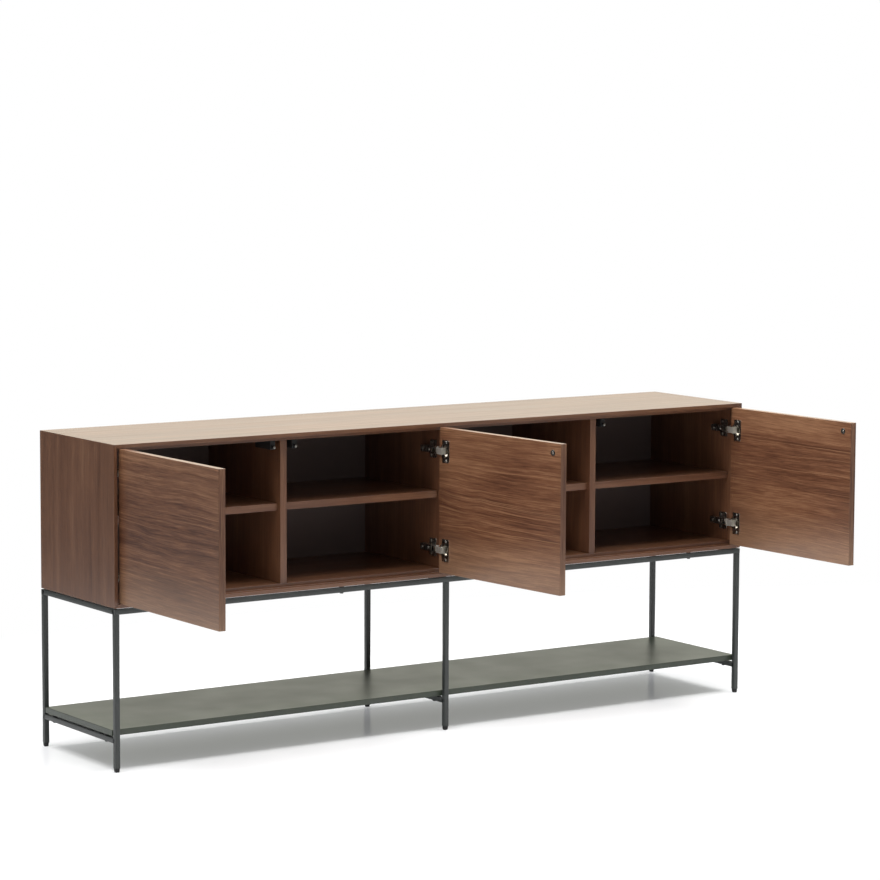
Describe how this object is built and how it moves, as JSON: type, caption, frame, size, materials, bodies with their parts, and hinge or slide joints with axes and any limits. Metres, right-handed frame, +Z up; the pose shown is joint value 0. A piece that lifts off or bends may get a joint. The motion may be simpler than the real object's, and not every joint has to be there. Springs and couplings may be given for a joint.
{
  "type": "sideboard",
  "caption": "Long, low wooden sideboard with hinged doors and an open niche, on a slim square-tube steel base with a low shelf.",
  "frame": {"origin": "on the floor, at the middle of the sole of the front centre foot", "axes": "+X to the right along the length as seen from the front, +Y towards the back, +Z up"},
  "size_m": [1.95, 0.8635, 0.805],
  "materials": {
    "walnut_box": "satin walnut veneer",
    "walnut_doors": "satin walnut veneer, grain across",
    "dark_steel": "satin dark grey powder coat",
    "shelf_grey": "satin grey paint",
    "nickel": "bright nickel plating",
    "zinc": "zinc plating",
    "black_plastic": "matt black"
  },
  "bodies": {
    "cabinet": {"top_panel": "walnut_box", "bottom_panel": "walnut_box", "left_side_panel": "walnut_box", "right_side_panel": "walnut_box", "partition_left": "walnut_box", "partition_centre": "walnut_box", "partition_right": "walnut_box", "back_panel_left": "walnut_box", "back_panel_right": "walnut_box", "inner_shelf_1": "walnut_box", "inner_shelf_2": "walnut_box", "inner_shelf_3": "walnut_box", "inner_shelf_4": "walnut_box", "left_door_lower_hinge_arm": "nickel", "left_door_upper_hinge_arm": "nickel", "middle_door_lower_hinge_arm": "nickel", "middle_door_upper_hinge_arm": "nickel", "right_door_lower_hinge_arm": "nickel", "right_door_upper_hinge_arm": "nickel", "left_door_lower_hinge_plate": "nickel", "left_door_upper_hinge_plate": "nickel", "middle_door_lower_hinge_plate": "nickel", "middle_door_upper_hinge_plate": "nickel", "right_door_lower_hinge_plate": "nickel", "right_door_upper_hinge_plate": "nickel", "left_latch_housing": "black_plastic", "middle_latch_housing": "black_plastic", "right_latch_housing": "black_plastic", "base_top_frame": "dark_steel", "left_leg_frame": "dark_steel", "centre_leg_frame": "dark_steel", "right_leg_frame": "dark_steel", "low_shelf": "shelf_grey", "foot_front_left": "black_plastic", "foot_front_centre": "black_plastic", "foot_front_right": "black_plastic", "foot_back_left": "black_plastic", "foot_back_centre": "black_plastic", "foot_back_right": "black_plastic"},
    "left_door": {"left_door_panel": "walnut_doors", "left_door_lower_hinge_cup": "nickel", "left_door_upper_hinge_cup": "nickel", "left_door_striker": "zinc"},
    "middle_door": {"middle_door_panel": "walnut_doors", "middle_door_lower_hinge_cup": "nickel", "middle_door_upper_hinge_cup": "nickel", "middle_door_striker": "zinc"},
    "right_door": {"right_door_panel": "walnut_doors", "right_door_lower_hinge_cup": "nickel", "right_door_upper_hinge_cup": "nickel", "right_door_striker": "zinc"},
    "left_hinge_links": {"left_door_lower_hinge_link": "nickel", "left_door_upper_hinge_link": "nickel"},
    "middle_hinge_links": {"middle_door_lower_hinge_link": "nickel", "middle_door_upper_hinge_link": "nickel"},
    "right_hinge_links": {"right_door_lower_hinge_link": "nickel", "right_door_upper_hinge_link": "nickel"},
    "left_plunger": {"left_latch_plunger": "zinc"},
    "middle_plunger": {"middle_latch_plunger": "zinc"},
    "right_plunger": {"right_latch_plunger": "zinc"}
  },
  "joints": [
    {"name": "left_door_swing", "type": "hinge", "parent": "cabinet", "child": "left_door", "pos_m": [-0.9595, -0.0065, 0.605], "axis": [0, 0, 1], "range_deg": [-5, 90]},
    {"name": "middle_door_swing", "type": "hinge", "parent": "cabinet", "child": "middle_door", "pos_m": [-0.006, -0.0065, 0.605], "axis": [0, 0, -1], "range_deg": [-0.5, 94.5]},
    {"name": "right_door_swing", "type": "hinge", "parent": "cabinet", "child": "right_door", "pos_m": [0.9595, -0.0065, 0.605], "axis": [0, 0, -1], "range_deg": [-3.5, 91.5]},
    {"name": "left_links_turn", "type": "hinge", "parent": "cabinet", "child": "left_hinge_links", "pos_m": [-0.948, 0.0175, 0.605], "axis": [0, 0, 1], "range_deg": [-5, 90]},
    {"name": "middle_links_turn", "type": "hinge", "parent": "cabinet", "child": "middle_hinge_links", "pos_m": [-0.0175, 0.0175, 0.605], "axis": [0, 0, -1], "range_deg": [-0.5, 94.5]},
    {"name": "right_links_turn", "type": "hinge", "parent": "cabinet", "child": "right_hinge_links", "pos_m": [0.948, 0.0175, 0.605], "axis": [0, 0, -1], "range_deg": [-3.5, 91.5]},
    {"name": "left_plunger_slide", "type": "slide", "parent": "cabinet", "child": "left_plunger", "axis": [0, 1, 0], "range_m": [-0.0005, 0.008]},
    {"name": "middle_plunger_slide", "type": "slide", "parent": "cabinet", "child": "middle_plunger", "axis": [0, 1, 0], "range_m": [-0.0001, 0.0083]},
    {"name": "right_plunger_slide", "type": "slide", "parent": "cabinet", "child": "right_plunger", "axis": [0, 1, 0], "range_m": [-0.0004, 0.008]}
  ],
  "couplings": [
    {"joint": "left_links_turn", "follows": "left_door_swing", "ratio": 1},
    {"joint": "middle_links_turn", "follows": "middle_door_swing", "ratio": 1},
    {"joint": "right_links_turn", "follows": "right_door_swing", "ratio": 1},
    {"joint": "left_plunger_slide", "follows": "left_door_swing", "m_per_rad": 0.005},
    {"joint": "middle_plunger_slide", "follows": "middle_door_swing", "m_per_rad": 0.005},
    {"joint": "right_plunger_slide", "follows": "right_door_swing", "m_per_rad": 0.005}
  ]
}
